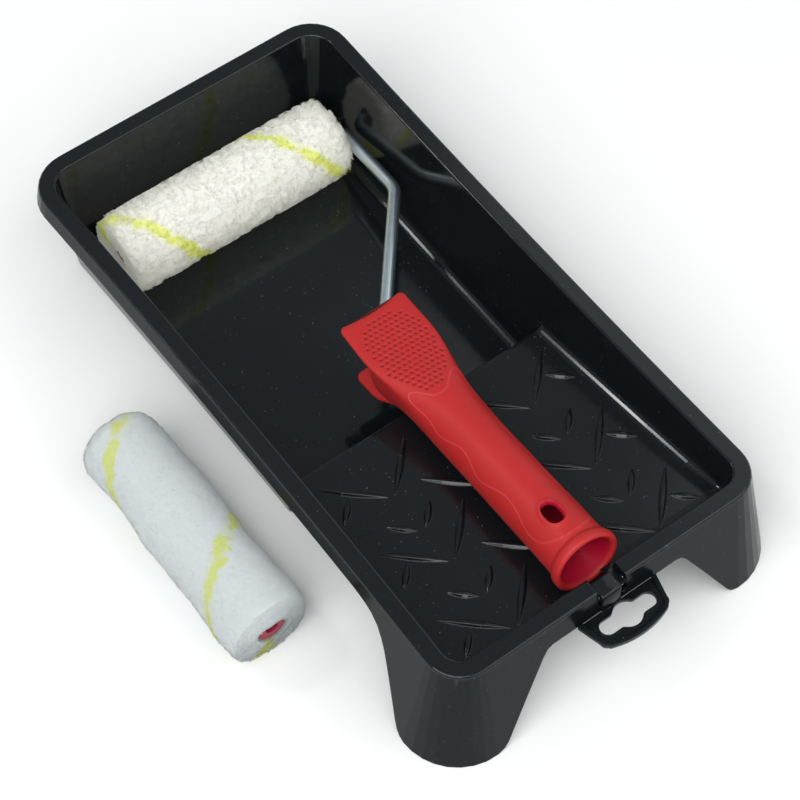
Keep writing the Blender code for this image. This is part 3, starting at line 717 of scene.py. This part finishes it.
class Sleeve:
    """The shape of one sleeve's pile, along its axis t and round its angle a, in millimetres.

    radius and half are its radius and half its length. widths and shifts add to the radius, and move the
    middle sideways, along the axis. lips gives each opening's half width, half height, height of its
    middle, how much the pile bulges past the end, and how much less it does so at the bottom. stripe has
    the place of the yellow helix, its pitch, and how broken it is. tuft is 1 for long tufts and less for
    short ones, and sink is how deep their roots lie. No strand's middle is farther from the axis than
    reach, or more than floor below it.
    """

    def __init__(self, radius, half, widths, shifts, lips, stripe, tuft, sink, reach, floor, seed):
        self.radius, self.half, self.tuft, self.seed = radius, half, tuft, seed
        self.sink, self.reach, self.floor = sink, reach, floor
        self.widths, self.shifts, self.lips = np.array(widths), np.array(shifts), lips
        self.stripe_at, self.stripe_pitch, self.patchy = stripe

    def surface(self, t, a, share):
        """A point of the skin: share 1 is its outside, and share 0 the lip of the opening at that end."""
        r = self.radius + np.interp(t, self.widths[:, 0], self.widths[:, 1])
        shift = np.interp(t, self.shifts[:, 0], self.shifts[:, 1])
        low, high = self.lips
        wide, tall, centre, bulge, cut = (np.where(t < 0.0, low[k], high[k]) for k in range(5))
        beyond = np.maximum(np.abs(t) - self.half, 0.0)
        t = t + np.sign(t) * beyond * (bulge * (1.0 - cut * (0.5 - 0.5 * np.sin(a))) - 1.0)
        y = (r * np.cos(a) + shift) * share + wide * np.cos(a) * (1.0 - share)
        z = r * np.sin(a) * share + (centre + tall * np.sin(a)) * (1.0 - share)
        return np.stack([t, y, z], axis=-1)

    def from_stripe(self, points):
        """How far points lie from the middle of the helical stripe, along the axis."""
        turn = (points[:, 0] - self.stripe_at) / self.stripe_pitch
        turn = turn - np.arctan2(points[:, 2], points[:, 1]) / (2.0 * math.pi)
        return np.abs(turn - np.round(turn)) * abs(self.stripe_pitch)


def pile_outline(sleeve, steps):
    """Distances along the axis, and shares, of the skin from the lip at one end to the lip at the other."""
    left = [(-sleeve.half - beyond, share) for beyond, share in END_CURVE]
    right = [(-t, share) for t, share in reversed(left)]
    middle = [(t, 1.0) for t in np.linspace(left[-1][0], right[0][0], steps)[1:-1]]
    rows = np.array(left + middle + right)
    walk = np.hypot(np.diff(rows[:, 0]), np.diff(rows[:, 1]) * sleeve.radius)
    return rows, np.concatenate([[0.0], np.cumsum(walk)])


def lumps_of(sleeve, points):
    """Soft swells, with rounded puffs that meet in creases where the tufts are long."""
    swell = 0.5 * lattice_noise(points, 5.0, sleeve.seed)
    swell += 0.3 * lattice_noise(points, 2.4, sleeve.seed + 1)
    puffs = np.abs(lattice_noise(points, 3.4, sleeve.seed + 8)) * 2.9 - 0.8
    return swell + np.maximum(sleeve.tuft - 0.3, 0.0) / 0.7 * puffs


def dye(sleeve, points):
    """How strongly the stripe's yellow shows: broken into clumps, with a faint stain round them."""
    gap = sleeve.from_stripe(points)
    clump = 2.6 * lattice_noise(points, 3.6, sleeve.seed + 5)
    clump += sleeve.patchy * lattice_noise(points, 8.0, sleeve.seed + 6)
    return np.maximum(1.0 - smoothstep(1.5, 3.4, gap + clump), 0.26 * (1.0 - smoothstep(2.0, 6.5, gap)))


def fleece_skin(name, sleeve, place, mat, body):
    """The closed, lumpy skin under the fibres."""
    count, rows = int(300 * FINE), int(310 * FINE)
    outline, walk = pile_outline(sleeve, 200)
    at = np.linspace(0.0, walk[-1], rows)
    a = np.linspace(0.0, 2.0 * math.pi, count, endpoint=False)
    tt, aa = np.meshgrid(np.interp(at, walk, outline[:, 0]), a, indexing="ij")
    share = np.repeat(np.interp(at, walk, outline[:, 1])[:, None], count, axis=1)
    flat = sleeve.surface(tt.ravel(), aa.ravel(), share.ravel())
    away = outward_of(sleeve, flat)
    lumps = lumps_of(sleeve, flat) + 0.22 * lattice_noise(flat, 0.95, sleeve.seed + 2)
    flat = settle(sleeve, flat + away * (lumps - 0.7)[:, None])
    first, last = hollow_ends(sleeve, a)
    points = np.concatenate([first, flat, last])
    faces = grid_faces(rows + 6, count, False, False)
    end = (rows + 5) * count
    faces += [(end + i, end + (i + 1) % count, (i + 1) % count, i) for i in range(count)]
    obj = add_mesh(name, points, faces, place, mat, body, 180.0)
    tint = 0.8 * dye(sleeve, points)
    # Painted shade: the skin's tone is paler on its swells and darker in the creases between them.
    tone_and_shade = np.concatenate([np.zeros(len(first)), 0.4 * lumps, np.zeros(len(last))]) + 0.5
    mark(obj, tint, tone_and_shade, outward_of(sleeve, points), place)
    return obj


def hollow_ends(sleeve, a):
    """Rings that take the skin's two lips back inside, round the core, so that it closes on itself."""
    def ring(t, r):
        return np.stack([np.full(len(a), t), r * np.cos(a), r * np.sin(a)], axis=1)

    end, inner = sleeve.half, CORE_OUTER + 0.35
    first = [ring(-end + 28.0, inner), ring(-end + 2.0, inner), ring(-end - 0.8, inner + 0.1)]
    last = [ring(end + 0.8, inner + 0.1), ring(end - 2.0, inner), ring(end - 28.0, inner)]
    return np.concatenate(first), np.concatenate(last)


def outward_of(sleeve, points):
    """Directions away from the sleeve's axis, turning to face along it at the ends."""
    t = points[:, 0]
    over = np.clip((np.abs(t) - sleeve.half + 4.5) / 8.7, 0.0, 1.0)
    radial = points * np.array((0.0, 1.0, 1.0))
    radial /= np.maximum(np.linalg.norm(radial, axis=1), 1e-6)[:, None]
    rise = np.hypot(points[:, 1], points[:, 2]) / sleeve.radius
    lean = over * (1.0 - 0.5 * np.clip(rise, 0.0, 1.0) ** 4)
    made = radial * (1.0 - lean)[:, None] + np.array((1.0, 0.0, 0.0)) * (np.sign(t) * lean)[:, None]
    return made / np.linalg.norm(made, axis=1)[:, None]


def soft_excess(excess, soft):
    """How far to pull something back that is this much past a limit, so that it gains at most soft."""
    excess = np.maximum(excess, 0.0)
    return excess - soft * (1.0 - np.exp(-excess / soft))


def settle(sleeve, points):
    """Pile pressed flat on what it lies on, kept within its reach, and clear of the wire at the end."""
    away = np.hypot(points[:, 1], points[:, 2])
    shrink = 1.0 - soft_excess(away - sleeve.reach + 0.35, 0.35) / np.maximum(away, 1e-6)
    inset = soft_excess(np.abs(points[:, 0]) - sleeve.half - END_REACH, END_SOFTNESS)
    points = points * np.stack([np.ones(len(away)), shrink, shrink], axis=1)
    points[:, 0] -= np.sign(points[:, 0]) * inset
    low = 0.05 - sleeve.floor
    height = points[:, 2]
    points[:, 2] = np.where(height < low + 0.6, low + 0.6 * np.exp((height - low - 0.6) / 0.6), height)
    return points


def mark(obj, tint, tone_and_shade, outward, place):
    """Store the stripe's strength, the tone with its painted shade, and the softened direction at each point,
    for the material.
    """
    mesh = obj.data
    count = len(mesh.vertices)
    colours = np.ones((count, 4))
    colours[:, 0] = tint
    colours[:, 1] = np.clip(tone_and_shade, 0.0, 1.0)
    strand = mesh.attributes.new("strand", "FLOAT_COLOR", "POINT")
    strand.data.foreach_set("color", colours.astype(np.float32).ravel())
    turn = np.array(place.to_3x3())
    away = mesh.attributes.new("outward", "FLOAT_VECTOR", "POINT")
    away.data.foreach_set("vector", (outward @ turn.T).astype(np.float32).ravel())


def strand_roots(sleeve, rng, amount):
    """Roots spread evenly over the skin, and the direction out of the skin at each."""
    outline, walk = pile_outline(sleeve, 60)
    wide = 5.0 + (sleeve.radius - 5.0) * outline[:, 1]
    area = np.concatenate([[0.0], np.cumsum(np.diff(walk) * (wide[1:] + wide[:-1]) / 2.0)])
    pick = np.interp(rng.random(amount) * area[-1], area, walk)
    t = np.interp(pick, walk, outline[:, 0])
    share = np.maximum(np.interp(pick, walk, outline[:, 1]), 0.28)
    root = sleeve.surface(t, rng.random(amount) * 2.0 * math.pi, share)
    away = outward_of(sleeve, root)
    return root + away * (lumps_of(sleeve, root) - sleeve.sink)[:, None], away


def strand_paths(sleeve, rng, root, away):
    """The middle lines of the strands, which spring from the skin, bend over in bunches and curl."""
    amount = len(root)
    side = np.cross(away, rng.normal(size=(amount, 3)))
    side /= np.linalg.norm(side, axis=1)[:, None]
    bunch = np.stack([lattice_noise(root, 2.6, sleeve.seed + 20 + k) for k in range(3)], axis=1)
    bunch -= away * np.sum(bunch * away, axis=1)[:, None]
    lean = 0.75 * side + (0.7 + sleeve.tuft) * bunch
    third = np.cross(away, side)
    long = 1.3 + 0.8 * rng.random(amount)
    long *= np.where(rng.random(amount) < 0.12 * sleeve.tuft, 1.0 + 0.8 * sleeve.tuft, 1.0)
    curl = 0.34 + 0.3 * rng.random(amount)
    spin = rng.random(amount) * 2.0 * math.pi
    turns = 1.1 + 1.2 * rng.random(amount)
    path = []
    for k in range(STRAND_STEPS):
        u = k / (STRAND_STEPS - 1.0)
        bend = u * u
        wheel = spin + turns * u * 2.0 * math.pi
        rise = away * (long * (0.92 * u - 0.42 * bend))[:, None]
        slide = lean * (long * 0.55 * bend)[:, None]
        wave = (side * np.cos(wheel)[:, None] + third * np.sin(wheel)[:, None]) * (curl * u)[:, None]
        path.append(settle(sleeve, root + rise + slide + wave))
    return np.stack(path, axis=1)


def strand_points(path, away, thick):
    """Rings of three points round each strand's path, which narrow towards its tip."""
    along = np.gradient(path, axis=1)
    along /= np.maximum(np.linalg.norm(along, axis=2), 1e-6)[:, :, None]
    across = np.cross(along, np.broadcast_to(away[:, None, :] + 0.01, along.shape))
    across /= np.maximum(np.linalg.norm(across, axis=2), 1e-6)[:, :, None]
    upright = np.cross(across, along)
    taper = np.array([1.0, 1.0, 0.95, 0.85, 0.7, 0.35])[None, :, None]
    points = []
    for k in range(STRAND_SIDES):
        turn = 2.0 * math.pi * k / STRAND_SIDES
        outwards = across * math.cos(turn) + upright * math.sin(turn)
        points.append(path + outwards * thick[:, None, None] * taper)
    return np.stack(points, axis=2).reshape(-1, 3)


def strand_faces(amount):
    """Triangles between the rings of every strand, and one at each end."""
    one = []
    for k in range(STRAND_STEPS - 1):
        for i in range(STRAND_SIDES):
            j = (i + 1) % STRAND_SIDES
            low = STRAND_SIDES * k
            high = low + STRAND_SIDES
            one += [(low + i, low + j, high + j), (low + i, high + j, high + i)]
    last = STRAND_SIDES * STRAND_STEPS
    one += [(2, 1, 0), (last - 3, last - 2, last - 1)]
    return (np.array(one)[None, :, :] + (np.arange(amount) * last)[:, None, None]).reshape(-1, 3)


def triangle_mesh(name, points, faces):
    """A mesh from arrays of points in millimetres and of triangles."""
    mesh = bpy.data.meshes.new(name)
    mesh.vertices.add(len(points))
    mesh.vertices.foreach_set("co", (points * MM).astype(np.float32).ravel())
    mesh.loops.add(len(faces) * 3)
    mesh.loops.foreach_set("vertex_index", faces.astype(np.int32).ravel())
    mesh.polygons.add(len(faces))
    mesh.polygons.foreach_set("loop_start", np.arange(0, len(faces) * 3, 3, dtype=np.int32))
    mesh.update(calc_edges=True)
    return mesh


def fibres(name, sleeve, place, mat, body, seed, shadows):
    """A bunch of curled strands all over the sleeve, each a thin three-sided tube."""
    rng = np.random.default_rng(seed)
    amount = STRANDS
    root, away = strand_roots(sleeve, rng, amount)
    path = strand_paths(sleeve, rng, root, away)
    thick = 0.13 + 0.07 * rng.random(amount)
    mesh = triangle_mesh(name, strand_points(path, away, thick), strand_faces(amount))
    mesh.transform(place)
    mesh.materials.append(mat)
    obj = bpy.data.objects.new(name, mesh)
    bpy.context.scene.collection.objects.link(obj)
    mesh.shade_smooth()
    obj.visible_shadow = shadows
    obj.visible_diffuse = shadows
    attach(obj, body)
    tint = np.clip(dye(sleeve, root) + 0.1 * rng.normal(size=amount), 0.0, 1.0)
    # Painted shade: each strand is darker at its root and paler at its tip, on top of a tone that differs at
    # random.
    tone_and_shade = 0.75 + 0.25 * rng.normal(size=amount)
    level = np.linspace(-0.25, 0.1, STRAND_STEPS)
    tone_and_shade = (tone_and_shade[:, None] + level[None, :]).repeat(STRAND_SIDES, axis=1)
    each = STRAND_SIDES * STRAND_STEPS
    mark(obj, np.repeat(tint, each), tone_and_shade.ravel(), np.repeat(away, each, axis=0), place)


def pile(body, sleeve, place, mat):
    """A sleeve's whole pile: the skin, and the strands on it in bunches.

    One bunch in three casts shadows, and none does on a sleeve with short tufts, so that the pile stays pale.
    """
    skin = fleece_skin(body + "_fleece", sleeve, place, mat, body)
    for k in range(BUNCHES):
        name = "%s_tufts_%d" % (body, k + 1)
        shadows = sleeve.tuft >= 0.5 and k % 3 == 0
        fibres(name, sleeve, place, mat, body, 100 * sleeve.seed + k, shadows)
    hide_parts(body + "_pile")


# ------------------------------------------------------------ the set

SMOOTH = smooth_group(32)
black = tray_plastic()
red = handle_plastic()
steel = wire_steel()
plug = plug_plastic()
yellow = ((0.62, 0.67, 0.08), (0.74, 0.79, 0.2))
# The last value of each pile material is the strength of its painted glow.
cream = pile_fabric("striped_pile", (0.78, 0.78, 0.73), (0.75, 0.75, 0.695), yellow, 0.36)
pale_yellow = ((0.46, 0.5, 0.1), (0.5, 0.54, 0.17))
white = pile_fabric("spare_pile", (0.5, 0.533, 0.544), (0.49, 0.523, 0.534), pale_yellow, 0.52)
for node, mat in (("tray", black), ("hang_tab", black), ("handle", red), ("wire_frame", steel),
                  ("wire_stop", plug), ("wire_clip", steel), ("sleeve_core", red), ("sleeve_pile", cream),
                  ("sleeve_plug_near", plug), ("sleeve_plug_far", plug), ("spare_core", red),
                  ("spare_pile", white), ("spare_plug_near", plug), ("spare_plug_far", plug)):
    dress(node, mat)

handle = handle_body(red)
cut_handle(handle)
handle_tongue(red)
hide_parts("handle")
hang_tab(black)

# The sleeve on the wire lies on the floor of the well. Its pile stays within reach, so that it turns freely.
tray_sleeve = Sleeve(
    radius=19.25, half=57.5,
    widths=[(-62, 0.2), (-45, 0.6), (0, 0.5), (25, 0.6), (50, 0.3), (62, -0.4)],
    shifts=[(-60, 0.0), (60, 0.0)],
    lips=((5.4, 5.4, 0.0, 1.3, 0.0), (5.4, 5.4, 0.0, 1.1, 0.0)),
    stripe=(-51.0 - 79.0 * 83.0 / 360.0, 79.0, 0.8),
    tuft=1.0, sink=1.25, reach=20.05, floor=20.0, seed=3)
pile("sleeve", tray_sleeve, Matrix.Translation(AXLE), cream)

# The spare lies loose on the ground, beside the tray.
loose_sleeve = Sleeve(
    radius=19.4, half=57.5,
    widths=[(-58, 0.6), (-48, 1.0), (-18, -0.6), (12, 0.5), (30, -0.8), (50, -0.2), (60, -0.6)],
    shifts=[(-58, 1.0), (-18, 0.6), (12, -0.6), (30, -1.6), (55, -1.1)],
    lips=((8.2, 4.5, -3.9, 0.3, 0.5), (4.5, 4.5, 0.0, 1.0, 0.0)),
    stripe=(-22.0 - 75.0 * 94.0 / 360.0, 75.0, 2.2),
    tuft=0.3, sink=1.5, reach=99.0, floor=19.4, seed=7)
core_low, core_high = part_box("spare_core")
spare_middle = Vector([round(v, 4) for v in (core_low + core_high) / 2.0])
spare_place = Matrix.Translation(spare_middle) @ Matrix.Rotation(math.radians(91.5), 4, "Z")
pile("spare", loose_sleeve, spare_place, white)


# ------------------------------------------------------------ stage, lights, camera

def stage_floor():
    """A plain pale floor, a hair under the object."""
    mesh = bpy.data.meshes.new("floor")
    bm = bmesh.new()
    bmesh.ops.create_grid(bm, x_segments=2, y_segments=2, size=6.0)
    bm.to_mesh(mesh)
    bm.free()
    floor = bpy.data.objects.new("floor", mesh)
    floor.location.z = -0.0002
    bpy.context.scene.collection.objects.link(floor)
    g = Graph("floor")
    g.set(Base_Color=(0.68, 0.68, 0.68), Roughness=0.9)
    mesh.materials.append(g.mat)


def area_light(name, at, side, power):
    """A square white light that faces the origin."""
    data = bpy.data.lights.new(name, "AREA")
    data.shape = "RECTANGLE"
    data.size = data.size_y = side
    data.energy = power
    light = bpy.data.objects.new(name, data)
    light.location = at
    light.rotation_euler = (-Vector(at)).to_track_quat("-Z", "Y").to_euler()
    bpy.context.scene.collection.objects.link(light)


def world_light(colour, strength):
    """Even light from all round."""
    world = bpy.data.worlds.new("studio")
    world.use_nodes = True
    back = world.node_tree.nodes["Background"]
    back.inputs[0].default_value = (*colour, 1.0)
    back.inputs[1].default_value = strength
    bpy.context.scene.world = world


def add_camera(at, lens, turn, lift, roll):
    """A camera that looks down by lift, turned from the front by turn and tipped by roll, in degrees."""
    data = bpy.data.cameras.new("camera")
    data.lens = lens
    data.sensor_width = 36.0
    camera = bpy.data.objects.new("camera", data)
    turn, lift, roll = math.radians(turn), math.radians(lift), math.radians(roll)
    ahead = Vector((math.sin(turn) * math.cos(lift), math.cos(turn) * math.cos(lift), -math.sin(lift)))
    level = Vector((math.cos(turn), -math.sin(turn), 0.0))
    above = level.cross(ahead)
    right = level * math.cos(roll) + above * math.sin(roll)
    up = above * math.cos(roll) - level * math.sin(roll)
    basis = Matrix((right, up, -ahead)).transposed().to_4x4()
    camera.matrix_world = Matrix.Translation(at) @ basis
    bpy.context.scene.collection.objects.link(camera)
    bpy.context.scene.camera = camera


stage_floor()
area_light("key", (-1.3, -0.7, 1.8), 2.0, 64.0)
area_light("front", (0.6, -1.4, 1.7), 2.2, 28.0)
area_light("side", (1.6, 0.3, 1.4), 1.8, 6.0)
area_light("back", (-0.62, 0.86, 1.45), 0.22, 3.6)
world_light((0.94, 0.98, 1.0), 0.36)
bpy.context.scene.view_settings.view_transform = "Standard"
add_camera((-0.3539, -0.5471, 0.9434), 110.76, 36.891, 57.577, 0.232)
